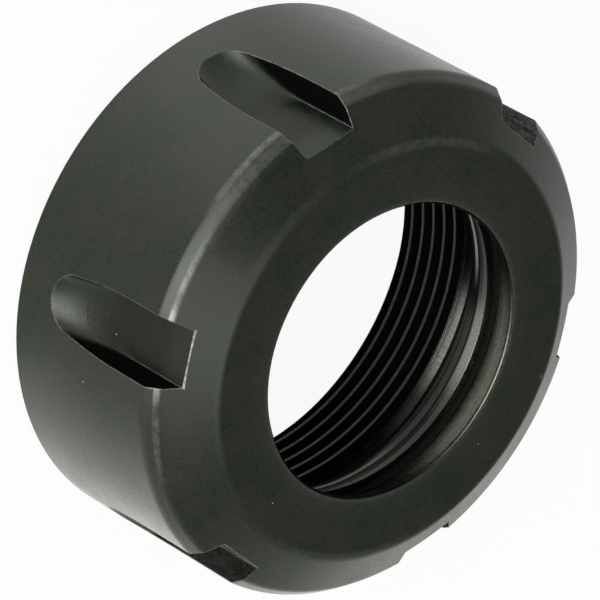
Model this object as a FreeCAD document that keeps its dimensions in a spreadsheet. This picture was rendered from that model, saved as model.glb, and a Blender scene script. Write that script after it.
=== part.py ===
import FreeCAD, Part
import math
import os
import Sketcher

# Clamping nut of a size 32 spring collet chuck, turned from one bar.
# The nut stands on its threaded end. Its axis is Z, and Z = 0 is the back face.
# Depths are measured from the flat front face down into the nut.

doc = FreeCAD.newDocument("collet_nut")
sheet = doc.addObject("Spreadsheet::Sheet", "Sizes")

# Lengths are millimetres and angles are degrees.
DRIVING_SIZES = {
    # outside
    "outer_diameter": 50.0,
    "nut_length": 22.5,
    "back_chamfer": 0.4,
    "face_diameter": 39.7,
    "face_cone_angle": 32.0,
    "shoulder_drop": 0.85,
    "shoulder_length": 1.25,
    "shoulder_rounding": 0.3,
    "face_rounding": 1.2,
    # seat of the collet's front cone, and the recess for its flange
    "bore_diameter": 27.86,
    "bore_chamfer": 0.3,
    "seat_half_angle": 30.0,
    "seat_end_diameter": 32.4,
    "recess_step": 0.7,
    "recess_length": 1.77,
    # extraction lip, turned off centre so that it hooks behind the flange
    "lip_offset": 0.5,
    "lip_side_angle": 155.5,
    "lip_front_angle": 32.5,
    "lip_height": 1.15,
    "lip_throat_flare": 0.65,
    "lip_throat_length": 1.85,
    "lip_rear_flare": 0.25,
    "lip_rear_length": 0.95,
    "lip_rear_land": 0.55,
    "lip_core_margin": 0.4,
    # turned from the back: cone, relief groove and threaded hole
    "rear_cone_half_angle": 41.3,
    "thread_diameter": 40.0,
    "relief_step": 0.25,
    "relief_length": 1.2,
    "entry_step": 0.5,
    "entry_half_angle": 45.0,
    # wrench slots, milled with a tapered cutter that climbs out along an arc
    "slot_count": 6,
    "slot_depth": 2.57,
    "slot_floor_width": 5.36,
    "slot_draft_angle": 14.8,
    "slot_level_length": 7.5,
    "slot_climb_radius": 12.8,
    "spoon_flank_angle": 12.0,
    "cutter_overrun": 1.0,
}

for row, (alias, value) in enumerate(DRIVING_SIZES.items(), start=1):
    sheet.set(f"A{row}", alias)
    sheet.set(f"B{row}", str(value))
    sheet.setAlias(f"B{row}", alias)
doc.recompute()


class Size:
    """A length or angle: its present number, and the expression that keeps it bound to the sheet."""

    def __init__(self, number, text):
        self.number = number
        self.text = text

    @staticmethod
    def of(thing):
        return thing if isinstance(thing, Size) else Size(float(thing), repr(float(thing)))

    def join(self, other, sign, number):
        return Size(number, f"({self.text} {sign} {Size.of(other).text})")

    def __add__(self, other):
        return self.join(other, "+", self.number + Size.of(other).number)

    def __sub__(self, other):
        return self.join(other, "-", self.number - Size.of(other).number)

    def __mul__(self, other):
        return self.join(other, "*", self.number * Size.of(other).number)

    def __truediv__(self, other):
        return self.join(other, "/", self.number / Size.of(other).number)

    def __neg__(self):
        return Size(-self.number, f"(-1 * {self.text})")

    def sine(self):
        return Size(math.sin(math.radians(self.number)), f"sin({self.text} * 1 deg)")

    def cosine(self):
        return Size(math.cos(math.radians(self.number)), f"cos({self.text} * 1 deg)")

    def tangent(self):
        return Size(math.tan(math.radians(self.number)), f"tan({self.text} * 1 deg)")


def size(alias):
    return Size(float(sheet.get(alias)), f"Sizes.{alias}")


def plane_of(body, role):
    return next(feature for feature in body.Origin.OriginFeatures if feature.Role == role)


def new_sketch(body, name, role, offset=()):
    """A sketch on one of the body's own planes, moved by sizes given in the plane's own axes."""
    sketch = body.newObject("Sketcher::SketchObject", name)
    sketch.AttachmentSupport = [(plane_of(body, role), "")]
    sketch.MapMode = "FlatFace"
    for axis, distance in offset:
        sketch.setExpression(f".AttachmentOffset.Base.{axis}", distance.text)
    return sketch


def bind_point(sketch, geometry, end, point):
    """Hold one end of a line or arc at two sizes, measured from the sketch's origin."""
    for kind, along, distance in (("DistanceX", -2, point[0]), ("DistanceY", -1, point[1])):
        if distance.number == 0:
            sketch.addConstraint(Sketcher.Constraint("PointOnObject", geometry, end, along))
            continue
        index = sketch.addConstraint(
            Sketcher.Constraint(kind, -1, 1, geometry, end, distance.number)
        )
        sketch.setExpression(f"Constraints[{index}]", distance.text)


def bind_x(sketch, geometry, end, distance):
    """Hold one end of a line or arc at a size along the sketch's first axis alone."""
    index = sketch.addConstraint(
        Sketcher.Constraint("DistanceX", -1, 1, geometry, end, distance.number)
    )
    sketch.setExpression(f"Constraints[{index}]", distance.text)


def closed_outline(sketch, points):
    """Straight lines through the points and back to the first one."""
    vectors = [FreeCAD.Vector(x.number, y.number, 0) for x, y in points]
    count = len(points)
    for start in range(count):
        sketch.addGeometry(Part.LineSegment(vectors[start], vectors[(start + 1) % count]), False)
    for start in range(count):
        sketch.addConstraint(Sketcher.Constraint("Coincident", start, 2, (start + 1) % count, 1))
        bind_point(sketch, start, 1, points[start])


def ring_edges(shape, radius, height):
    """Names of the full circles about Z with this radius at this height."""
    names = []
    for index, edge in enumerate(shape.Edges, start=1):
        circle = edge.Curve
        if not isinstance(circle, Part.Circle):
            continue
        if abs(circle.Radius - radius.number) < 0.01 and abs(circle.Center.z - height.number) < 0.01:
            names.append(f"Edge{index}")
    return names


def check_cut(feature, before):
    """Stop if a cutting feature has taken nothing off."""
    doc.recompute()
    if feature.Shape.Volume >= before - 1e-3:
        raise RuntimeError(f"{feature.Name} cut nothing")


ZERO = Size(0.0, "0")

front = size("nut_length")
outer_radius = size("outer_diameter") / 2
face_radius = size("face_diameter") / 2
shoulder_radius = outer_radius - size("shoulder_drop")
cone_foot = front - (shoulder_radius - face_radius) * size("face_cone_angle").tangent()
bore_radius = size("bore_diameter") / 2
seat_start = front - size("bore_chamfer")
seat_end_radius = size("seat_end_diameter") / 2
seat_end = seat_start - (seat_end_radius - bore_radius) / size("seat_half_angle").tangent()
recess_radius = seat_end_radius + size("recess_step")
recess_floor = seat_end - size("recess_length")
lip_radius = recess_radius - size("lip_height")
lip_slope = size("lip_front_angle").tangent()
crown_height = recess_floor + (recess_radius - lip_radius + size("lip_offset")) * lip_slope
throat_radius = lip_radius + size("lip_throat_flare")
throat_height = crown_height - size("lip_throat_length")
throat_slope = size("lip_throat_flare") / size("lip_throat_length")
rear_radius = throat_radius + size("lip_rear_flare")
rear_height = throat_height - size("lip_rear_length")
lip_core_radius = lip_radius - size("lip_offset") - size("lip_core_margin")
lip_core_top = recess_floor + (recess_radius - lip_core_radius) * lip_slope
thread_radius = size("thread_diameter") / 2
relief_radius = thread_radius + size("relief_step")
rear_cone_slope = size("rear_cone_half_angle").tangent()
rear_cone_top = rear_height - size("lip_rear_land")
relief_top = rear_cone_top - (relief_radius - rear_radius) / rear_cone_slope
lip_core_foot = relief_top + (relief_radius - lip_core_radius) / rear_cone_slope
thread_top = relief_top - size("relief_length")
entry_radius = thread_radius + size("entry_step")
entry_height = size("entry_step") / size("entry_half_angle").tangent()

nut = doc.addObject("PartDesign::Body", "collet_nut")
nut.Label = "collet_nut"

# The turned blank: half of the nut's section, spun once round the axis. The lip is left
# as a plain round core here and gets its own bore below.
section = new_sketch(nut, "turned_section", "XZ_Plane")
closed_outline(section, [
    (entry_radius, ZERO),
    (outer_radius - size("back_chamfer"), ZERO),
    (outer_radius, size("back_chamfer")),
    (outer_radius, cone_foot - size("shoulder_length")),
    (shoulder_radius, cone_foot),
    (face_radius, front),
    (bore_radius + size("bore_chamfer"), front),
    (bore_radius, seat_start),
    (seat_end_radius, seat_end),
    (recess_radius, seat_end),
    (recess_radius, recess_floor),
    (lip_core_radius, lip_core_top),
    (lip_core_radius, lip_core_foot),
    (relief_radius, relief_top),
    (relief_radius, thread_top),
    (thread_radius, thread_top),
    (thread_radius, entry_height),
])
blank = nut.newObject("PartDesign::Revolution", "turned_blank")
blank.Profile = section
blank.ReferenceAxis = (section, ["V_Axis"])
blank.Angle = 360.0
doc.recompute()

# The lip's bore is turned about its own axis, a little off the nut's. The lip stands out
# furthest at lip_side_angle and is lowest on the opposite side.
lip_axis_x = -(size("lip_offset") * size("lip_side_angle").cosine())
lip_axis_y = -(size("lip_offset") * size("lip_side_angle").sine())
lip_section = new_sketch(nut, "lip_section", "XZ_Plane", [("x", lip_axis_x), ("z", -lip_axis_y)])
closed_outline(lip_section, [
    (ZERO, relief_top),
    (rear_radius, relief_top),
    (rear_radius, rear_height),
    (throat_radius, throat_height),
    (lip_radius - (seat_end - crown_height) * throat_slope, seat_end),
    (ZERO, seat_end),
])
lip_bore = nut.newObject("PartDesign::Groove", "lip_bore")
lip_bore.Profile = lip_section
lip_bore.ReferenceAxis = (lip_section, ["V_Axis"])
lip_bore.Angle = 360.0
check_cut(lip_bore, blank.Shape.Volume)

# Soft edges of the front cone, broken by the tool and polished in use.
for name, radius, height, rounding in (
    ("shoulder_back_edge", outer_radius, cone_foot - size("shoulder_length"), "shoulder_rounding"),
    ("shoulder_front_edge", shoulder_radius, cone_foot, "shoulder_rounding"),
    ("face_edge", face_radius, front, "face_rounding"),
):
    base = nut.Tip
    edge_round = nut.newObject("PartDesign::Fillet", name)
    edge_round.Base = (base, ring_edges(base.Shape, radius, height))
    edge_round.setExpression("Radius", size(rounding).text)
    doc.recompute()

# One wrench slot. The cutter is a short tapered mill that points at the axis. It runs level
# along the nut from the front face, then climbs out of the metal along an arc, so the slot
# ends in a half-round spoon.
floor_x = outer_radius - size("slot_depth")
floor_half_width = size("slot_floor_width") / 2
level_end = front - size("slot_level_length")
climb_radius = size("slot_climb_radius")
clear_radius = outer_radius + size("cutter_overrun")
start_height = front + size("cutter_overrun")
climb_height = clear_radius - floor_x
cutter_half_width = floor_half_width + climb_height * size("slot_draft_angle").tangent()

# The climb is drawn as two arcs of one circle, which meet a quarter of the way out.
path = new_sketch(nut, "cutter_path", "XZ_Plane")
upward = FreeCAD.Vector(0, 0, 1)
climb_joint = floor_x + climb_height / 4
climb_centre = FreeCAD.Vector((floor_x + climb_radius).number, level_end.number, 0)
climb_circle = Part.Circle(climb_centre, upward, climb_radius.number)
joint_angle = math.pi + math.acos(1 - climb_height.number / 4 / climb_radius.number)
exit_angle = math.pi + math.acos(1 - climb_height.number / climb_radius.number)
path.addGeometry(Part.LineSegment(
    FreeCAD.Vector(floor_x.number, start_height.number, 0),
    FreeCAD.Vector(floor_x.number, level_end.number, 0),
), False)
path.addGeometry(Part.ArcOfCircle(climb_circle, math.pi, joint_angle), False)
path.addGeometry(Part.ArcOfCircle(climb_circle, joint_angle, exit_angle), False)
path.addConstraint(Sketcher.Constraint("Coincident", 0, 2, 1, 1))
path.addConstraint(Sketcher.Constraint("Coincident", 1, 2, 2, 1))
path.addConstraint(Sketcher.Constraint("Coincident", 1, 3, 2, 3))
bind_point(path, 0, 1, (floor_x, start_height))
bind_point(path, 0, 2, (floor_x, level_end))
bind_point(path, 1, 3, (floor_x + climb_radius, level_end))
bind_x(path, 1, 2, climb_joint)
bind_x(path, 2, 2, clear_radius)

# The two tapered walls and the floor between them: the cutter's side view, moved along the path.
side_view = new_sketch(nut, "cutter_side_view", "XY_Plane", [("z", start_height)])
closed_outline(side_view, [
    (floor_x, -floor_half_width),
    (clear_radius, -cutter_half_width),
    (clear_radius, cutter_half_width),
    (floor_x, floor_half_width),
])
rounded_volume = nut.Tip.Shape.Volume
slot_walls = nut.newObject("PartDesign::SubtractivePipe", "slot_walls")
slot_walls.Profile = side_view
slot_walls.Spine = (path, ["Edge1", "Edge2", "Edge3"])
slot_walls.Mode = "Fixed"
check_cut(slot_walls, rounded_volume)

# The spoon that ends the slot: the cutter's end face, moved along the climb alone. Only the
# round leading side shapes the metal. The corners behind it stay in the slot already cut.
# The nose is drawn as three equal arcs, which keeps each swept face shallow.
flank_angle = size("spoon_flank_angle")
flank_y = floor_half_width * flank_angle.cosine()
flank_z = level_end - floor_half_width * flank_angle.sine()
joint_y = floor_half_width * ((Size.of(90) - flank_angle) / 3).sine()
tail_y = floor_half_width * 0.6
tail_z = level_end + floor_half_width * 0.8
corners = [
    (flank_y, flank_z),
    (floor_half_width, level_end),
    (tail_y, tail_z),
    (-tail_y, tail_z),
    (-floor_half_width, level_end),
    (-flank_y, flank_z),
]
end_view = new_sketch(nut, "cutter_end_view", "YZ_Plane", [("z", floor_x)])
nose = Part.Circle(FreeCAD.Vector(0, level_end.number, 0), upward, floor_half_width.number)
nose_start = math.pi + math.radians(flank_angle.number)
nose_third = math.radians(180 - 2 * flank_angle.number) / 3
for third in range(3):
    arc_start = nose_start + third * nose_third
    end_view.addGeometry(Part.ArcOfCircle(nose, arc_start, arc_start + nose_third), False)
for (y, z), (next_y, next_z) in zip(corners, corners[1:]):
    end_view.addGeometry(Part.LineSegment(
        FreeCAD.Vector(y.number, z.number, 0),
        FreeCAD.Vector(next_y.number, next_z.number, 0),
    ), False)
for line in range(8):
    end_view.addConstraint(Sketcher.Constraint("Coincident", line, 2, (line + 1) % 8, 1))
bind_point(end_view, 0, 3, (ZERO, level_end))
for arc in (1, 2):
    end_view.addConstraint(Sketcher.Constraint("Coincident", 0, 3, arc, 3))
for line, corner in enumerate(corners[:5], start=3):
    bind_point(end_view, line, 1, corner)
bind_x(end_view, 1, 2, joint_y)
end_view.addConstraint(Sketcher.Constraint("Horizontal", 1, 1, 1, 2))
end_view.addConstraint(Sketcher.Constraint("Horizontal", 0, 1, 2, 2))
slot_spoon = nut.newObject("PartDesign::SubtractivePipe", "slot_spoon")
slot_spoon.Profile = end_view
slot_spoon.Spine = (path, ["Edge2", "Edge3"])
slot_spoon.Mode = "Fixed"
check_cut(slot_spoon, slot_walls.Shape.Volume)

slots = nut.newObject("PartDesign::PolarPattern", "wrench_slots")
slots.Originals = [slot_walls, slot_spoon]
slots.Axis = (plane_of(nut, "Z_Axis"), [""])
slots.Angle = 360.0
slots.setExpression("Occurrences", size("slot_count").text)
nut.Tip = slots
check_cut(slots, slot_spoon.Shape.Volume)

# Nothing is written unless every object is sound.
for thing in doc.Objects:
    if "Invalid" in thing.State or "Error" in thing.State:
        raise RuntimeError(f"{thing.Name} failed: {thing.State}")
for thing in doc.Objects:
    if thing.isDerivedFrom("Sketcher::SketchObject") and not thing.FullyConstrained:
        raise RuntimeError(f"{thing.Name} is loose")

nodes = [nut]
os.makedirs("parts", exist_ok=True)
for node in nodes:
    shape = node.Shape
    if shape.isNull() or not shape.isValid() or len(shape.Solids) != 1:
        raise RuntimeError(f"{node.Label} isn't one sound solid")
    print(f"{node.Label}: {shape.Volume:.1f} mm3, {len(shape.Faces)} faces")
    shape.exportStep(f"parts/{node.Label}.step")
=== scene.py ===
import math
from collections import namedtuple

import bmesh
import bpy
import numpy as np
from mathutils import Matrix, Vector


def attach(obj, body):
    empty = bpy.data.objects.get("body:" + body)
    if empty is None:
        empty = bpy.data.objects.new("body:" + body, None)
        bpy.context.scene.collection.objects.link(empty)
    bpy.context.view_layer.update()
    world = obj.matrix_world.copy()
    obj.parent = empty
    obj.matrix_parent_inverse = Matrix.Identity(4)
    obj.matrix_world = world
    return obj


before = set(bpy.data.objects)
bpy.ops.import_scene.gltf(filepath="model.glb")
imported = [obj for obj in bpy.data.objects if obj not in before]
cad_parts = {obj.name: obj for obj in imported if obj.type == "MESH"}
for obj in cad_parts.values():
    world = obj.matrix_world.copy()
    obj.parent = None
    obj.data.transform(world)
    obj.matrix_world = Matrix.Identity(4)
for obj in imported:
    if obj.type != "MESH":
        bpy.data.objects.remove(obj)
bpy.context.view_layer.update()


# The clamping nut: one piece of steel, turned, bored and threaded, with milled wrench slots.
# It is black oxided, so it is nearly black face on and mirrors its surroundings at a low angle.
# The sharp edges have lost a little of their oxide in use.

# the turned outside and the slots, in millimetres
MM_PER_METRE = 1000.0
NUT_LENGTH = 22.5
OUTER_RADIUS = 25.0
FACE_RADIUS = 19.85
FACE_CONE_SLOPE = math.tan(math.radians(32.0))
SHOULDER_START = 18.56
SHOULDER_END = 19.81
SHOULDER_SLOPE = 0.85 / 1.25
SLOT_FLOOR = 22.43
SLOT_LEVEL_END = 15.0
SLOT_SPACING = 60.0
CUTTER_RADIUS = 2.68

# the oily skin's tint, the oxide under it, and what shows where the oxide is rubbed, which also
# serves as painted highlight; the seat's brown and the rear cone's grey are painted sheen, and the
# near black is painted shade
SKIN_TINT = (0.93, 1.0, 0.89, 1.0)
OXIDE_GREEN = (0.0045, 0.0185, 0.0060, 1.0)
OXIDE_BROWN = (0.0235, 0.0205, 0.0120, 1.0)
OXIDE_VIOLET = (0.0320, 0.0180, 0.0330, 1.0)
# painted sheen for the lit side of the bore's seat and rear cone
SEAT_SHEEN_BROWN = (0.1600, 0.1440, 0.1080, 1.0)
REAR_SHEEN_GREY = (0.150, 0.168, 0.150, 1.0)
# painted shade: near black for the skin that stands in for shade, and for the darkened slots
SHADE_BLACK = (0.0028, 0.0030, 0.0027, 1.0)
BARE_STEEL_AND_HIGHLIGHT = (0.46, 0.45, 0.42, 1.0)
DUST = (0.60, 0.62, 0.60, 1.0)
NOISE_MIDDLE = 0.5


class Wire:
    """One output of a node. Arithmetic with numbers and other wires adds Math nodes."""

    def __init__(self, tree, socket=None):
        self.tree = tree
        self.socket = socket

    def node(self, kind, settings=None, inputs=None, output=0):
        """Add a node: its settings first, then the numbers or wires of its sockets."""
        made = self.tree.nodes.new("ShaderNode" + kind)
        for name, value in (settings or {}).items():
            setattr(made, name, value)
        for name, value in (inputs or {}).items():
            if isinstance(value, Wire):
                self.tree.links.new(value.socket, made.inputs[name])
            else:
                made.inputs[name].default_value = value
        return Wire(self.tree, made.outputs[output] if made.outputs else None)

    def math(self, operation, *others):
        """A Math node on this wire, and on others if the operation takes more than one."""
        return self.node("Math", {"operation": operation}, dict(enumerate((self, *others))))

    def reflected(self, operation, other):
        """The same with this wire as the second value."""
        return self.node("Math", {"operation": operation}, {0: other, 1: self})

    def __add__(self, other):
        return self.math("ADD", other)

    def __sub__(self, other):
        return self.math("SUBTRACT", other)

    def __mul__(self, other):
        return self.math("MULTIPLY", other)

    def __truediv__(self, other):
        return self.math("DIVIDE", other)

    def __pow__(self, other):
        return self.math("POWER", other)

    def __rsub__(self, other):
        return self.reflected("SUBTRACT", other)

    def __rtruediv__(self, other):
        return self.reflected("DIVIDE", other)

    def __rpow__(self, other):
        return self.reflected("POWER", other)

    __radd__ = __add__
    __rmul__ = __mul__

    def least(self, other):
        return self.math("MINIMUM", other)

    def most(self, other):
        return self.math("MAXIMUM", other)

    def above(self, low, high):
        """0 below low, 1 above high, and a smooth rise from one to the other."""
        return self.node(
            "MapRange",
            {"interpolation_type": "SMOOTHSTEP"},
            {"Value": self, "From Min": low, "From Max": high},
        )

    def below(self, low, high):
        """1 below low, 0 above high."""
        return 1 - self.above(low, high)

    def within(self, begins, full, fades, gone):
        """1 from full to fades, 0 outside begins and gone, and smooth in between."""
        return self.above(begins, full) * self.below(fades, gone)

    def axes(self):
        """The X, Y and Z of a vector."""
        split = self.node("SeparateXYZ", {}, {0: self})
        return [Wire(self.tree, socket) for socket in split.socket.node.outputs]

    def vector(self, operation, *others, output=0):
        """A Vector Math node on this wire and on others."""
        values = dict(enumerate((self, *others)))
        return self.node("VectorMath", {"operation": operation}, values, output)

    def tint(self, first, second):
        """The first colour where this wire is 0, and the second where it is 1."""
        return self.node(
            "Mix", {"data_type": "RGBA"}, {"Factor": self, 6: first, 7: second}, output=2
        )

    def turn(self, first, second):
        """The first vector where this wire is 0, and the second where it is 1."""
        return self.node(
            "Mix", {"data_type": "VECTOR"}, {"Factor": self, 4: first, 5: second}, output=1
        )


Spot = namedtuple("Spot", "place x y z radius")


def find_spot(start):
    """Where a point of the steel is, in millimetres, with its distance from the nut's axis."""
    metres = start.node("TexCoord", output="Object")
    place = start.node("VectorMath", {"operation": "SCALE"}, {0: metres, "Scale": MM_PER_METRE})
    x, y, z = place.axes()
    return Spot(place, x, y, z, (x * x + y * y) ** 0.5)


def blotches(place, per_mm, detail, roughness):
    """Noise through the metal."""
    return place.node("TexNoise", {}, {
        "Vector": place, "Scale": per_mm, "Detail": detail, "Roughness": roughness,
    })


def lines(run, per_mm, detail, roughness):
    """Noise along one length only, so that it draws the lines that a cutting edge leaves."""
    return run.node("TexNoise", {"noise_dimensions": "1D"}, {
        "W": run, "Scale": per_mm, "Detail": detail, "Roughness": roughness,
    })


def around(spot, *patches):
    """Where patches lie around the nut's axis, and how strong they are.

    Each has an azimuth in degrees, the cosines of the angles off it at which the patch begins
    and is full, and a strength.
    """
    total = 0
    for azimuth, begins, full, strength in patches:
        aim = math.radians(azimuth)
        facing = (spot.x * math.cos(aim) + spot.y * math.sin(aim)) / spot.radius
        total = facing.above(begins, full) * strength + total
    return total


def patchy(rubbed, evenly, in_blotches):
    """How far a place is lightened towards bare steel, as worn steel and as painted highlight:
    evenly, and more in blotches.
    """
    return evenly + rubbed * in_blotches


# where one surface gives way to the next: from the first number to the second
SLOT_DEPTH = (0.05, 0.14)
SLOT_RADIUS = (22.1, 22.3)
SLOT_START = (3.0, 3.5)
BORE_RADIUS = (20.3, 20.6)
BORE_END = (20.0, 20.2)
MOUTH_RADIUS = (17.8, 18.0)
MOUTH_END = (22.35, 22.45)


def regions(spot):
    """What is milled, what is the bore's mouth, and all that is inside the bore."""
    cone = FACE_RADIUS + (NUT_LENGTH - spot.z) / FACE_CONE_SLOPE
    shoulder = OUTER_RADIUS - (spot.z - SHOULDER_START) * SHOULDER_SLOPE
    outline = cone.least(shoulder).least(OUTER_RADIUS)
    in_slot = (
        (outline - spot.radius).above(*SLOT_DEPTH)
        * spot.radius.above(*SLOT_RADIUS)
        * spot.z.above(*SLOT_START)
    )
    bore = spot.radius.below(*BORE_RADIUS) * spot.z.below(*BORE_END)
    mouth = spot.radius.below(*MOUTH_RADIUS) * spot.z.below(*MOUTH_END)
    return in_slot, mouth, bore.most(mouth)


# slots whose walls the end mill tore: azimuth, and how badly
TORN_SLOTS = ((-120.0, 1.0), (60.0, 0.45))
# the mill's scores, across and along a slot, and how far each slot's are from the next one's
SCORES_ACROSS = 5.0
SCORES_ALONG = 0.45
SCORES_SHIFT = 40.0


def milling(spot, in_slot):
    """How far a point is off its slot's middle, which walls are torn, and the mill's marks.

    The arcs follow the mill's round nose along the slot, and the scores run down its walls.
    """
    count = spot.y.math("ARCTAN2", spot.x) / math.radians(SLOT_SPACING) + 0.5
    off_middle = (count.math("FRACT") - 0.5) * math.radians(SLOT_SPACING)
    across = spot.radius * off_middle.math("SINE")
    nose = (CUTTER_RADIUS ** 2 - across * across).most(0.0) ** 0.5
    arcs = lines(SLOT_LEVEL_END - spot.z - nose, per_mm=4.5, detail=4.0, roughness=0.7)
    sweep = across.node("CombineXYZ", {}, {
        "X": (across + spot.radius) * SCORES_ACROSS,
        "Y": spot.z * SCORES_ALONG,
        "Z": count * SCORES_SHIFT,
    })
    scores = blotches(sweep, per_mm=1.0, detail=3.0, roughness=0.65)
    torn = 0
    for azimuth, badly in TORN_SLOTS:
        torn = count.math("COMPARE", azimuth / SLOT_SPACING + 0.5, 0.5) * badly + torn
    return across.math("ABSOLUTE"), in_slot * torn, arcs, scores


# the tumbled edges: how far the normal turns over each, and over which heights or radii
SHOULDER_TURN = math.radians(34.2)
SHOULDER_ROUNDING = (SHOULDER_START - 0.66, SHOULDER_START + 0.36)
CONE_TURN = math.radians(23.8)
CONE_ROUNDING = (SHOULDER_END - 0.62, SHOULDER_END + 0.22)
FACE_TURN = math.radians(32.0)
FACE_ROUNDING = (FACE_RADIUS - 0.65, FACE_RADIUS + 0.65)
# the face's edge begins this much further in on the +X side
FACE_SHIFT = 0.2


def tumbled_normal(spot):
    """The normal of a nut whose shoulder and face edge are tumbled soft, so it turns slowly."""
    rolled = spot.radius + spot.x / spot.radius * FACE_SHIFT
    lean = math.radians(90.0) - (
        spot.z.above(*SHOULDER_ROUNDING) * SHOULDER_TURN
        + spot.z.above(*CONE_ROUNDING) * CONE_TURN
        + rolled.below(*FACE_ROUNDING) * FACE_TURN
    )
    outward = lean.math("SINE") / spot.radius
    normal = lean.node("CombineXYZ", {}, {
        "X": spot.x * outward, "Y": spot.y * outward, "Z": lean.math("COSINE"),
    })
    return normal.node("VectorTransform", {
        "vector_type": "NORMAL", "convert_from": "OBJECT", "convert_to": "WORLD",
    }, {"Vector": normal})


# lighter bands outside, worn and painted as highlights: the heights or radii at which each begins,
# is full, fades and is gone
FRONT_RIM = (SHOULDER_END - 0.62, SHOULDER_END - 0.42, SHOULDER_END - 0.18, SHOULDER_END + 0.06)
BACK_RIM = (SHOULDER_START - 0.65, SHOULDER_START - 0.30, SHOULDER_START, SHOULDER_START + 0.30)
FACET = (SHOULDER_START, SHOULDER_START + 0.5, 19.6, SHOULDER_END)
FACE_EDGE = (19.15, 19.65, 19.95, 20.35)
FACE_EDGE_SIDES = (-0.55, -0.15, 0.25, 0.58)
SLOT_EDGE_RADIUS = (SLOT_FLOOR - 0.09, SLOT_FLOOR - 0.02)
SLOT_EDGE_HEIGHT = (20.76, 20.84)
SLOT_EDGE_WIDTH = (2.7, 2.8)
SLOT_CORNER_WIDTH = (3.4, 5.0)
SLOT_CORNER_SIDE = (0.90, 0.96)
HALO_RADIUS = (14.5, 16.8)
BORE_RIM_RADIUS = (14.34, 14.72)
FLAT_FACE = (22.4, 22.48)
SLOT_EDGE_PATCH = (-10.0, 0.86, 0.97, 1.0)

# chafed strips of the shoulder, on its lit side and so also painted highlights: band, patch, then
# how far lightened evenly and in blotches
CHAFED_AND_HIGHLIT_STRIPS = (
    (FRONT_RIM, (-10.0, 0.945, 0.995, 1.0), (0.12, 0.16)),
    (FRONT_RIM, (12.0, 0.94, 0.99, 1.0), (0.06, 0.12)),
    (BACK_RIM, (-54.0, 0.90, 0.975, 1.0), (0.13, 0.13)),
    (FACET, (-54.0, 0.84, 0.95, 1.0), (0.06, 0.04)),
)

# how far the other places are lightened: the slots' edges and corners by wear and painted
# highlight, the face's edge and the bore's rim by painted highlight, and the face towards the bore
# a little
SLOT_EDGE_WEAR_AND_HIGHLIGHT = (0.40, 0.5)
FACE_EDGE_HIGHLIGHT = (0.035, 0.035)
SLOT_CORNER_WEAR_AND_HIGHLIGHT = 0.36
HALO_LIGHTENING = 0.016
BORE_RIM_HIGHLIGHT = 0.03


def rubbed_and_highlit_outside(spot, softened, off_middle, rubbed, wear_and_highlight):
    """The worn edges, with the other lighter places: the shoulder's rims and the slots' edges,
    worn and lightened more on the lit side as painted highlight; the face's edge and the bore's
    rim as painted highlight; and the face a little towards the bore.
    """
    # wear and painted highlight at the slots' corners on the +X side, the lit side
    chafe_and_highlight = (
        spot.z.within(*FRONT_RIM)
        * off_middle.below(*SLOT_CORNER_WIDTH)
        * (spot.x / spot.radius).above(*SLOT_CORNER_SIDE)
        * SLOT_CORNER_WEAR_AND_HIGHLIGHT
    )
    # wear and painted highlight along the shoulder's rims, on the lit side
    for band, patch, amounts in CHAFED_AND_HIGHLIT_STRIPS:
        strip = spot.z.within(*band) * around(spot, patch)
        chafe_and_highlight = chafe_and_highlight + strip * patchy(rubbed, *amounts)
    # wear and painted highlight along the slots' edges near -10 degrees
    slot_edge = (
        spot.radius.above(*SLOT_EDGE_RADIUS)
        * spot.z.above(*SLOT_EDGE_HEIGHT)
        * off_middle.below(*SLOT_EDGE_WIDTH)
        * around(spot, SLOT_EDGE_PATCH)
    )
    # painted highlight along the face's edge, on two sides
    face_edge = (
        softened
        * spot.radius.within(*FACE_EDGE)
        * (spot.x / spot.radius).within(*FACE_EDGE_SIDES)
    )
    face = spot.z.above(*FLAT_FACE)
    # the face is a little lighter towards the bore
    halo = face * spot.radius.below(*HALO_RADIUS)
    # painted highlight on the bore's rim
    bore_rim = face * spot.radius.below(*BORE_RIM_RADIUS)
    return (
        wear_and_highlight.most(softened * chafe_and_highlight).most(slot_edge * patchy(rubbed, *SLOT_EDGE_WEAR_AND_HIGHLIGHT))
        + face_edge * patchy(rubbed, *FACE_EDGE_HIGHLIGHT)
        + halo * HALO_LIGHTENING
        + bore_rim * BORE_RIM_HIGHLIGHT
    )


# bands inside, by height and where needed by radius too
MOUTH_RIM = (22.31, 22.36)
MOUTH_LINE = (22.10, 22.16, 22.28, 22.32)
SEAT = (18.1, 18.3)
PALE_SEAT = (18.5, 19.5, 20.2, 21.5)
LIP_FRONT = (16.55, 16.70, 17.45, 17.60)
THROAT = (15.70, 16.15, 17.6, 17.8)
THROAT_RADIUS = (16.45, 16.7)
FLARE = (14.85, 14.95, 15.38, 15.50)
FLARE_RADIUS = (17.0, 17.4)
REAR_CONE = (10.9, 13.0, 15.55, 15.70)
REAR_FADE = (13.2, 14.2)
GROOVE_RIM = (8.85, 8.95, 10.0, 10.15)

# the patches of painted highlight and painted sheen that show on each band
MOUTH_PATCH = (161.0, 0.80, 0.99, 1.0)
SEAT_PATCH = (161.0, 0.63, 0.94, 1.0)
PALE_PATCH = (161.0, 0.80, 0.97, 0.48)
THROAT_PATCHES = ((170.0, 0.86, 0.99, 0.35), (170.0, 0.94, 1.0, 0.65))
FLARE_PATCHES = ((215.0, 0.88, 0.985, 0.85), (106.0, 0.90, 0.99, 0.50))
REAR_PATCH = (150.0, 0.80, 0.92, 1.0)
GROOVE_PATCHES = ((161.0, 0.87, 0.985, 0.3), (166.0, 0.95, 1.0, 0.7))

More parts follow.
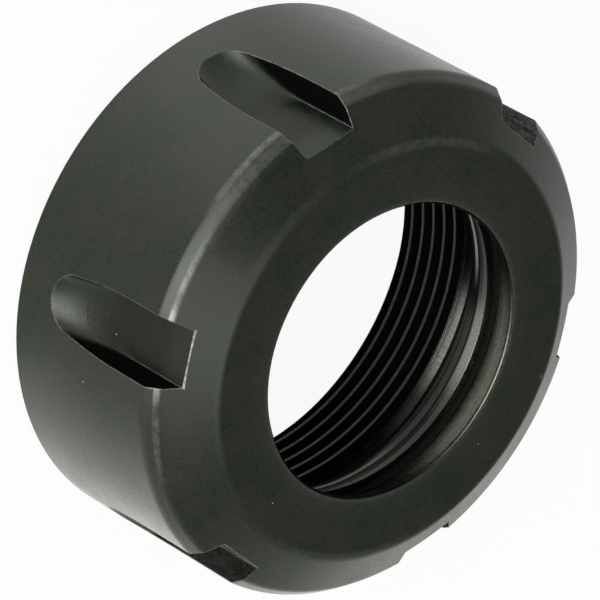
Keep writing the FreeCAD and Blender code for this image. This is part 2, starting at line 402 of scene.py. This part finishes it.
# how much painted highlight each band takes, how metallic the seat's painted sheen is, how much
# painted shade the bore takes, how much less some bands take, and how dark the mouth's line is
MOUTH_HIGHLIGHT = 0.55
THROAT_HIGHLIGHT = 0.57
FLARE_HIGHLIGHT = 0.75
GROOVE_HIGHLIGHT = 0.72
GROOVE_SCORES = 0.8
LIP_FRONT_HIGHLIGHT = 0.05
SEAT_METAL = 0.55
BORE_SHADE = 0.96
MOUTH_LINE_DARKNESS = 0.85
REAR_LESS_SHADE = 0.80
THROAT_LESS_SHADE = 0.12
LIP_FRONT_LESS_SHADE = 0.35


def bore_tones(spot, inside, mouth, rings, scores, mottle, grain):
    """How brown, grey, bright, metallic and shaded each band inside is.

    Only the side where the lip stands out is painted bright, with painted highlights and a painted
    sheen in brown and grey. The rest is painted in shade, as a matt black skin.
    """
    seat = inside * spot.z.above(*SEAT)
    throat = inside * spot.z.within(*THROAT) * spot.radius.below(*THROAT_RADIUS)
    groove = inside * spot.z.within(*GROOVE_RIM)
    lip_front = inside * spot.z.within(*LIP_FRONT)
    mouth_line = mouth * spot.z.within(*MOUTH_LINE)

    seat_shine = seat * around(spot, SEAT_PATCH)
    throat_shine = throat * around(spot, *THROAT_PATCHES)
    groove_shine = groove * around(spot, *GROOVE_PATCHES)
    flare_shine = (
        inside
        * spot.z.within(*FLARE)
        * spot.radius.below(*FLARE_RADIUS)
        * around(spot, *FLARE_PATCHES)
    )
    mouth_shine = mouth * spot.z.above(*MOUTH_RIM) * around(spot, MOUTH_PATCH)

    # painted sheen: brown on the seat's lit side
    brown = seat_shine * (0.55 + mottle.above(0.35, 0.65) * 0.45)
    # painted sheen: grey on the rear cone's lit side, in rings
    grey = (
        inside
        * spot.z.within(*REAR_CONE)
        * around(spot, REAR_PATCH)
        * (1 - spot.z.above(*REAR_FADE) * 0.40)
        * (0.45 + rings.above(0.42, 0.60) * 0.55)
    )
    # painted highlights on the throat, the groove's rim, the flare and the mouth
    painted_highlight = (
        throat_shine * THROAT_HIGHLIGHT
        + groove_shine * (GROOVE_HIGHLIGHT + (scores - NOISE_MIDDLE) * GROOVE_SCORES)
        + flare_shine * FLARE_HIGHLIGHT
        + mouth_shine * MOUTH_HIGHLIGHT
    )
    # painted highlight: a paler patch on the seat, and a little on the lip's front
    pale = seat * around(spot, PALE_PATCH) * spot.z.within(*PALE_SEAT)
    bright = painted_highlight + pale + lip_front * LIP_FRONT_HIGHLIGHT
    metallic = painted_highlight + seat_shine * SEAT_METAL

    shine = seat_shine + throat_shine + groove_shine + flare_shine
    # less painted shade on the rear cone, the throat and the lip's front
    unshaded = grey * REAR_LESS_SHADE + throat * THROAT_LESS_SHADE + lip_front * LIP_FRONT_LESS_SHADE
    # painted shade over the rest of the bore, and a thin dark line at the mouth
    painted_shade = inside * (1 - shine) * (BORE_SHADE - unshaded)
    painted_shade = painted_shade.most(mouth_line * MOUTH_LINE_DARKNESS)
    return brown, grey, bright, metallic, painted_shade * (1 - grain.above(0.66, 0.74) * 0.5)


def new_finish(name):
    """An empty material, and the wire that its first nodes are added from."""
    material = bpy.data.materials.new(name)
    material.use_nodes = True
    material.node_tree.nodes.clear()
    return material, Wire(material.node_tree)


def close_finish(start, colour, metallic, roughness, normal, painted_shade):
    """The finish's surface: an oily satin skin, and where shade is painted a matt black one that
    barely reflects.
    """
    unshaded = start.node("BsdfPrincipled", {}, {
        "Base Color": colour,
        "Metallic": metallic,
        "Roughness": roughness,
        "Normal": normal,
        "IOR": 1.55,
        "Specular Tint": SKIN_TINT,
    })
    # painted shade: a matt black skin that barely reflects, mixed in where shade is painted
    shade_skin = start.node("BsdfPrincipled", {}, {
        "Base Color": SHADE_BLACK,
        "Roughness": 0.55,
        "Normal": normal,
        "IOR": 1.04,
    })
    surface = start.node("MixShader", {}, {0: painted_shade, 1: unshaded, 2: shade_skin})
    start.node("OutputMaterial", {}, {"Surface": surface})


# where the tumbled part begins, by height, and a slot's wall, by distance from its middle
SOFT_START = (17.6, 18.0)
SLOT_WALL = (CUTTER_RADIUS - 0.02, CUTTER_RADIUS + 0.08)
# the bevel over a sharp edge in metres, how far it turns the normal there, and the wear
SHARP_ROUNDING = 0.00013
SHARP_MEETING = (0.86, 0.995)
SHARP_WEAR = (0.32, 0.60)
INSIDE_SPARED = 0.6
# where shade is painted as a matt black skin: on the cone, on the slots' floors and on their walls
SHADED_CONE_PATCH = (180.0, -0.1, 0.7, 0.09)
DARK_CONE_PATCH = (-38.0, 0.955, 0.99, 0.28)
DARK_CONE_HEIGHT = (19.9, 20.2)
DARK_CONE_RADIUS = (20.2, 20.6)
SHADED_FLOOR = (9.0, 11.5, 17.0, 19.5)
FLOOR_SHADE = 0.24
SLOT_WALL_SHADE = 0.99
# the skin's own gloss and metal, and the depth of its marks in metres
SATIN_ROUGHNESS = 0.28
NUT_METAL = 0.06
RELIEF_DEPTH = 0.0000035


def turned_steel(name):
    """Finish of the nut: turning rings, milling arcs in the slots, oxide tints and worn edges,
    with painted highlights and painted sheen on the lit side, and painted shade in the bore and
    the slots.
    """
    material, start = new_finish(name)
    spot = find_spot(start)
    in_slot, mouth, inside = regions(spot)
    softened = (1 - in_slot) * (1 - inside) * spot.z.above(*SOFT_START)

    # marks of the lathe tool, of the end mill and of the oxide bath, from broad to fine
    along = spot.radius - spot.z * 1.3
    rings = lines(along, per_mm=9.0, detail=3.0, roughness=0.6)
    bands = lines(along, per_mm=1.1, detail=2.0, roughness=0.5)
    off_middle, torn, arcs, scores = milling(spot, in_slot)
    clouds = blotches(spot.place, per_mm=0.16, detail=3.0, roughness=0.55)
    mottle = blotches(spot.place, per_mm=1.3, detail=4.0, roughness=0.6)
    grain = blotches(spot.place, per_mm=6.5, detail=2.0, roughness=0.75)

    # a few specks of dust
    cells = start.node("TexVoronoi", {}, {"Vector": spot.place, "Scale": 0.33}, output="Distance")
    pick = blotches(spot.place, per_mm=0.4, detail=0.0, roughness=0.5)
    speck = cells.below(0.012, 0.03) * pick.above(0.5, 0.52)

    # sharp edges, which are where the rounded normal parts from the flat one, are worn
    flat = start.node("NewGeometry", output="Normal")
    rounded = start.node("Bevel", {"samples": 6}, {"Radius": SHARP_ROUNDING})
    edge = rounded.vector("DOT_PRODUCT", flat, output="Value").below(*SHARP_MEETING)
    broad = softened.turn(flat, tumbled_normal(spot))
    smooth = broad.vector("ADD", rounded.vector("SUBTRACT", flat)).vector("NORMALIZE")
    rubbed = mottle.above(0.35, 0.6)
    wear_and_highlight = edge * patchy(rubbed, *SHARP_WEAR) * (1 - inside * INSIDE_SPARED)
    # this adds the lighter rims and edges outside, partly wear and partly painted highlight
    wear_and_highlight = rubbed_and_highlit_outside(spot, softened, off_middle, rubbed, wear_and_highlight)

    # painted shade, as a matt black skin: inside the bore, on the slots' walls, and a little on
    # their floors and on the cone
    brown, grey, bright, metallic, shade_inside = bore_tones(
        spot, inside, mouth, rings, scores, mottle, grain
    )
    streaks = torn * (0.30 + (scores * 0.45 + grain * 0.55).above(0.42, 0.56) * 0.85)
    # painted shade on the cone: a little over its -X half, and more in a patch at -38 degrees
    # where the cone begins
    dark_cone = spot.z.above(*DARK_CONE_HEIGHT) * spot.radius.above(*DARK_CONE_RADIUS)
    cone_shade = softened * (
        around(spot, SHADED_CONE_PATCH) + around(spot, DARK_CONE_PATCH) * dark_cone
    )
    # painted shade on the middle of the slots' floors
    floor_shade = in_slot * spot.z.within(*SHADED_FLOOR) * FLOOR_SHADE
    # painted shade on the slots' walls, less along the torn streaks
    wall_shade = in_slot * off_middle.above(*SLOT_WALL) * (SLOT_WALL_SHADE - streaks * 0.75)
    painted_shade = (shade_inside + floor_shade + cone_shade).most(wall_shade)

    oxide = (clouds * 0.32 + mottle * 0.20 + grain * 0.48).above(0.41, 0.59)
    colour = oxide.tint(OXIDE_GREEN, OXIDE_BROWN)
    colour = grain.above(0.52, 0.64).tint(colour, OXIDE_VIOLET)
    # painted sheen on the seat
    colour = brown.tint(colour, SEAT_SHEEN_BROWN)
    # painted shade: the slots are darkened towards near black
    colour = (in_slot * 0.35).tint(colour, SHADE_BLACK)
    # painted sheen on the rear cone
    colour = (grey * 0.9).tint(colour, REAR_SHEEN_GREY)
    # bare steel where worn, and painted highlights on the lit side
    colour = (wear_and_highlight + bright + streaks * 0.07).tint(colour, BARE_STEEL_AND_HIGHLIGHT)
    colour = (speck * 0.8).tint(colour, DUST)
    roughness = SATIN_ROUGHNESS - wear_and_highlight * 0.04 + speck * 0.4
    for marks, amount in (
        (clouds, 0.20), (rings, 0.10), (bands, 0.06), (mottle, 0.06), (grain, 0.46),
    ):
        roughness = roughness + (marks - NOISE_MIDDLE) * amount
    for marks, amount in ((arcs, 0.16), (scores, 0.40)):
        roughness = roughness + in_slot * (marks - NOISE_MIDDLE) * amount
    relief = (
        (1 - in_slot) * (rings * 0.25 + bands * 0.15)
        + in_slot * (arcs + scores * 1.2)
        + torn * scores * 14.0
        + grain * 2.4
    )
    bump = start.node("Bump", {}, {
        "Strength": 1.0, "Distance": RELIEF_DEPTH, "Height": relief, "Normal": smooth,
    })
    metallic = (NUT_METAL + wear_and_highlight + metallic) * (1 - speck)
    close_finish(start, colour, metallic, roughness, bump, painted_shade * (1 - wear_and_highlight))
    return material


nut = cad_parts["collet_nut"]
nut.data.materials.clear()
nut.data.materials.append(turned_steel("nut_black_oxide"))


# The thread: an M40 x 1.5 right-hand thread cut in the rear bore by one turning tool.
# Its crests are the bore's own surface and its flanks lean 30 degrees. The first turn is
# cut back by the entry chamfer, and the last runs out into the relief groove.
PITCH = 1.5
ROOT_RADIUS = 19.985
CREST_RADIUS = 19.3
CREST_WIDTH = 0.30
CREST_HEIGHT = 8.2
CREST_AZIMUTH = 155.5
FLANK_ANGLE = 30.0
FLANK_POINTS = (0.0, 0.35, 0.7, 0.94)
THREAD_TOP = 8.9
THREAD_FOOT = 0.5
SPARE_TURNS = 4
SPARE_TURNS_BELOW = 2
ENTRY_CHAMFER = 20.5
BURIED_RADIUS = 20.1
COLUMNS = 384
SAME_HEIGHT = 1e-3
SAME_PLACE = 1e-8
CREASE_ANGLE = 24.0
CREST_TIP = (CREST_RADIUS + 0.01, CREST_RADIUS + 0.04)
BURR_ROUNDING = 0.00006
BURR_DEPTH = 0.000006
# the thread's colours are darker than the oxide outside: painted shade deep in the bore
ROOT_BLACK = (0.007, 0.008, 0.007, 1.0)
ROOT_BROWN = (0.014, 0.012, 0.009, 1.0)


def thread_profile():
    """Heights and radii of one pitch of the thread, from root to root."""
    rise = ROOT_RADIUS - CREST_RADIUS
    flank = rise * math.tan(math.radians(FLANK_ANGLE))
    half = CREST_WIDTH / 2
    side = [(half + flank * (1 - share), ROOT_RADIUS - rise * share) for share in FLANK_POINTS]
    return (
        [(-PITCH / 2, ROOT_RADIUS)]
        + [(-up, radius) for up, radius in side]
        + [(-half, CREST_RADIUS), (0.0, CREST_RADIUS), (half, CREST_RADIUS)]
        + side[::-1]
    )


def thread_mesh():
    """The thread as one long strip wound up the bore, with turns to spare at both ends."""
    profile = thread_profile()
    turns = int((THREAD_TOP - THREAD_FOOT) / PITCH) + SPARE_TURNS
    rows = np.array([(k * PITCH + up, radius) for k in range(turns) for up, radius in profile])
    angles = np.arange(COLUMNS) * 2 * math.pi / COLUMNS
    climb = PITCH * (angles - math.radians(CREST_AZIMUTH)) / (2 * math.pi)
    turns_below = int((CREST_HEIGHT - THREAD_FOOT) / PITCH) + SPARE_TURNS_BELOW
    lowest = CREST_HEIGHT - PITCH * turns_below
    heights = lowest + rows[:, 0][None, :] + climb[:, None]
    radii = np.maximum(rows[:, 1][None, :], ENTRY_CHAMFER - heights)
    radii = np.minimum(radii, BURIED_RADIUS)
    x = radii * np.cos(angles)[:, None]
    y = radii * np.sin(angles)[:, None]
    points = np.stack([x, y, heights], axis=2).reshape(-1, 3) / MM_PER_METRE
    count = len(rows)
    faces = []
    for column in range(COLUMNS):
        # the last column joins the first one, a pitch higher up
        last = column == COLUMNS - 1
        here = column * count
        there = 0 if last else here + count
        shift = len(profile) if last else 0
        for row in range(count - 1 - shift):
            faces.append((
                here + row,
                here + row + 1,
                there + row + 1 + shift,
                there + row + shift,
            ))
    mesh = bpy.data.meshes.new("thread")
    mesh.from_pydata(points.tolist(), [], faces)
    return mesh


def trim_and_close(mesh):
    """Cut the thread off at both ends, then close it with a wall hidden in the nut."""
    work = bmesh.new()
    work.from_mesh(mesh)
    for height, upward in ((THREAD_TOP, 1.0), (THREAD_FOOT, -1.0)):
        bmesh.ops.bisect_plane(
            work,
            geom=work.verts[:] + work.edges[:] + work.faces[:],
            plane_co=(0, 0, height / MM_PER_METRE),
            plane_no=(0, 0, upward),
            clear_outer=True,
        )
    bmesh.ops.remove_doubles(work, verts=work.verts[:], dist=SAME_PLACE)
    loops = []
    for height in (THREAD_TOP, THREAD_FOOT):
        rim = [
            edge for edge in work.edges
            if edge.is_boundary
            and all(abs(end.co.z * MM_PER_METRE - height) < SAME_HEIGHT for end in edge.verts)
        ]
        grown = bmesh.ops.extrude_edge_only(work, edges=rim)["geom"]
        for vertex in (part for part in grown if isinstance(part, bmesh.types.BMVert)):
            spread = BURIED_RADIUS / MM_PER_METRE / math.hypot(vertex.co.x, vertex.co.y)
            vertex.co.x *= spread
            vertex.co.y *= spread
        loops += [
            part for part in grown if isinstance(part, bmesh.types.BMEdge) and part.is_boundary
        ]
    bmesh.ops.bridge_loops(work, edges=loops)
    bmesh.ops.recalc_face_normals(work, faces=work.faces[:])
    work.to_mesh(mesh)
    work.free()
    mesh.shade_smooth()
    mesh.set_sharp_from_angle(angle=math.radians(CREASE_ANGLE))


def threaded_steel(name):
    """Finish of the thread: near black in the roots, rubbed and burred along the crests, which are
    also lightened a little as painted highlight. Everywhere but the crests, shade is painted as a
    matt black skin.
    """
    material, start = new_finish(name)
    spot = find_spot(start)
    mottle = blotches(spot.place, per_mm=1.6, detail=4.0, roughness=0.65)
    grain = blotches(spot.place, per_mm=9.0, detail=2.0, roughness=0.6)
    crest = spot.radius.below(*CREST_TIP)
    burr = crest * grain.above(0.60, 0.68) * mottle.above(0.52, 0.62) * 0.5
    # the crests are lightened by wear and as painted highlight, and burred
    wear_and_highlight = (crest * mottle.above(0.38, 0.68) * 0.06).most(burr)
    colour = wear_and_highlight.tint(mottle.above(0.35, 0.65).tint(ROOT_BLACK, ROOT_BROWN), BARE_STEEL_AND_HIGHLIGHT)
    roughness = 0.34 + (mottle - 0.5) * 0.2
    bump = start.node("Bump", {}, {
        "Strength": 1.0,
        "Distance": BURR_DEPTH,
        "Height": mottle * 0.5 + grain * 0.5,
        "Normal": start.node("Bevel", {"samples": 6}, {"Radius": BURR_ROUNDING}),
    })
    # painted shade: a matt black skin over all but the crests
    close_finish(start, colour, wear_and_highlight * 0.9, roughness, bump, 0.97 - crest * 0.72)
    return material


def put_in_scene(name, data):
    thing = bpy.data.objects.new(name, data)
    bpy.context.scene.collection.objects.link(thing)
    return thing


mesh = thread_mesh()
trim_and_close(mesh)
mesh.materials.append(threaded_steel("thread_black_oxide"))
thread = put_in_scene("m40_thread", mesh)
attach(thread, "root")


# The floor: a plain white board, white to the camera but lit enough by the studio to keep the
# nut's shadow. Shiny steel mirrors it as warm white at the sides, and darker towards the front and
# under the nut: painted light and shade, in the board's own glow, which the camera sees as plain
# white.
FLOOR_HALF_WIDTH = 1.5
FLOOR_DROP = 0.00002
OWN_LIGHT = 0.93
WHITE = (1.0, 1.0, 1.0, 1.0)
BOARD_COLOUR = (0.95, 0.95, 0.94, 1.0)

# what steel sees of the board: where a change begins and is full, in degrees, and how much
FRONT_GLOW = 0.46
PLUS_Y_CHANGES = ((15.0, 85.0, 1.15), (95.0, 175.0, -0.75))
MINUS_Y_CHANGES = ((12.0, 60.0, 0.65), (58.0, 85.0, -0.38), (98.0, 130.0, 0.13))
FOOT_REACH = (0.024, 0.036)
FOOT_BEARINGS = (10.0, 28.0, 40.0, 60.0)
FOOT_GLOW = 0.45
UNDER_REACH = (0.018, 0.021)
UNDER_GLOW = 0.75
WARM_SIDE = (-0.2, 0.8)


def white_board(name):
    """Finish of the floor, by distance from the nut's axis and bearing around it."""
    material, start = new_finish(name)
    x, y, _ = start.node("TexCoord", output="Object").axes()
    reach = (x * x + y * y + 1e-8) ** 0.5
    bearing = y.math("ARCTAN2", x) * math.degrees(1.0)
    # painted light and shade: the board's glow for reflections, brighter at the sides and darker
    # at the front and under the nut
    glow = FRONT_GLOW + (
        reach.below(*FOOT_REACH) * bearing.within(*FOOT_BEARINGS) * FOOT_GLOW
    )
    for side, changes in ((bearing, PLUS_Y_CHANGES), (0 - bearing, MINUS_Y_CHANGES)):
        for begins, full, amount in changes:
            glow = glow + side.above(begins, full) * amount
    open_floor = reach.above(*UNDER_REACH)
    glow = (glow * open_floor).most(UNDER_GLOW - open_floor)
    warmth = (y / reach).above(*WARM_SIDE)
    mirrored = start.node("CombineColor", {}, {
        0: glow, 1: glow * (1 - warmth * 0.015), 2: glow * (1 - warmth * 0.07),
    })
    seen, glossy, passed = (
        start.node("LightPath", output=f"Is {ray} Ray")
        for ray in ("Camera", "Glossy", "Transmission")
    )
    lit = start.node("BsdfDiffuse", {}, {"Color": BOARD_COLOUR})
    own = start.node("Emission", {}, {"Color": seen.tint(mirrored, WHITE), "Strength": 1.0})
    share = seen.most(glossy).most(passed) * OWN_LIGHT
    surface = start.node("MixShader", {}, {0: share, 1: lit, 2: own})
    start.node("OutputMaterial", {}, {"Surface": surface})
    return material


floor_mesh = bpy.data.meshes.new("floor")
grid = bmesh.new()
bmesh.ops.create_grid(grid, x_segments=8, y_segments=8, size=FLOOR_HALF_WIDTH)
grid.to_mesh(floor_mesh)
grid.free()
floor_mesh.materials.append(white_board("white_board"))
floor = put_in_scene("floor", floor_mesh)
floor.location.z = -FLOOR_DROP


# The studio: a pale horizon all round, a dim ceiling, and two soft boxes. The large one stands
# beside the camera, and the weaker one hangs nearly overhead.
HORIZON_LIGHT = 0.67
CEILING_LIGHT = 0.18
CEILING_START = (0.10, 0.48)
# each soft box: the direction of its middle, its light, and how narrow it is
SIDE_BOX = (Vector((0.90, -0.12, 0.40)), 4.6, 8.0)
TOP_BOX = (Vector((0.15, 0.25, 0.95)), 1.8, 16.0)


def studio(name):
    """The world around the nut: white to the camera, and grey where it lights the steel."""
    world = bpy.data.worlds.new(name)
    world.use_nodes = True
    world.node_tree.nodes.clear()
    start = Wire(world.node_tree)
    direction = start.node("TexCoord", output="Generated")
    height = direction.axes()[2]
    light = HORIZON_LIGHT - height.above(*CEILING_START) * (HORIZON_LIGHT - CEILING_LIGHT)
    for middle, strength, focus in (SIDE_BOX, TOP_BOX):
        towards = direction.vector("DOT_PRODUCT", middle.normalized(), output="Value")
        light = light + towards.most(0.0) ** focus * strength
    grey = start.node("CombineColor", {}, {0: light, 1: light, 2: light})
    colour = start.node("LightPath", output="Is Camera Ray").tint(grey, WHITE)
    sky = start.node("Background", {}, {"Color": colour, "Strength": 1.0})
    start.node("OutputWorld", {}, {"Surface": sky})
    return world


bpy.context.scene.world = studio("studio")


# The camera: a long lens, level with the photograph's own view of the nut. The photograph
# shows the nut lying on its side, so this camera is turned by as much.
camera_data = bpy.data.cameras.new("camera")
camera_data.lens = 395.5
camera_data.sensor_width = 36.0
camera_data.clip_start = 0.01
camera_data.clip_end = 50.0
camera = put_in_scene("camera", camera_data)
camera.location = (0.3922702, -0.1784167, 0.4161417)
camera.rotation_euler = (-0.4816607, -0.6851950, -2.8781557)
bpy.context.scene.camera = camera
bpy.context.scene.view_settings.view_transform = "Standard"
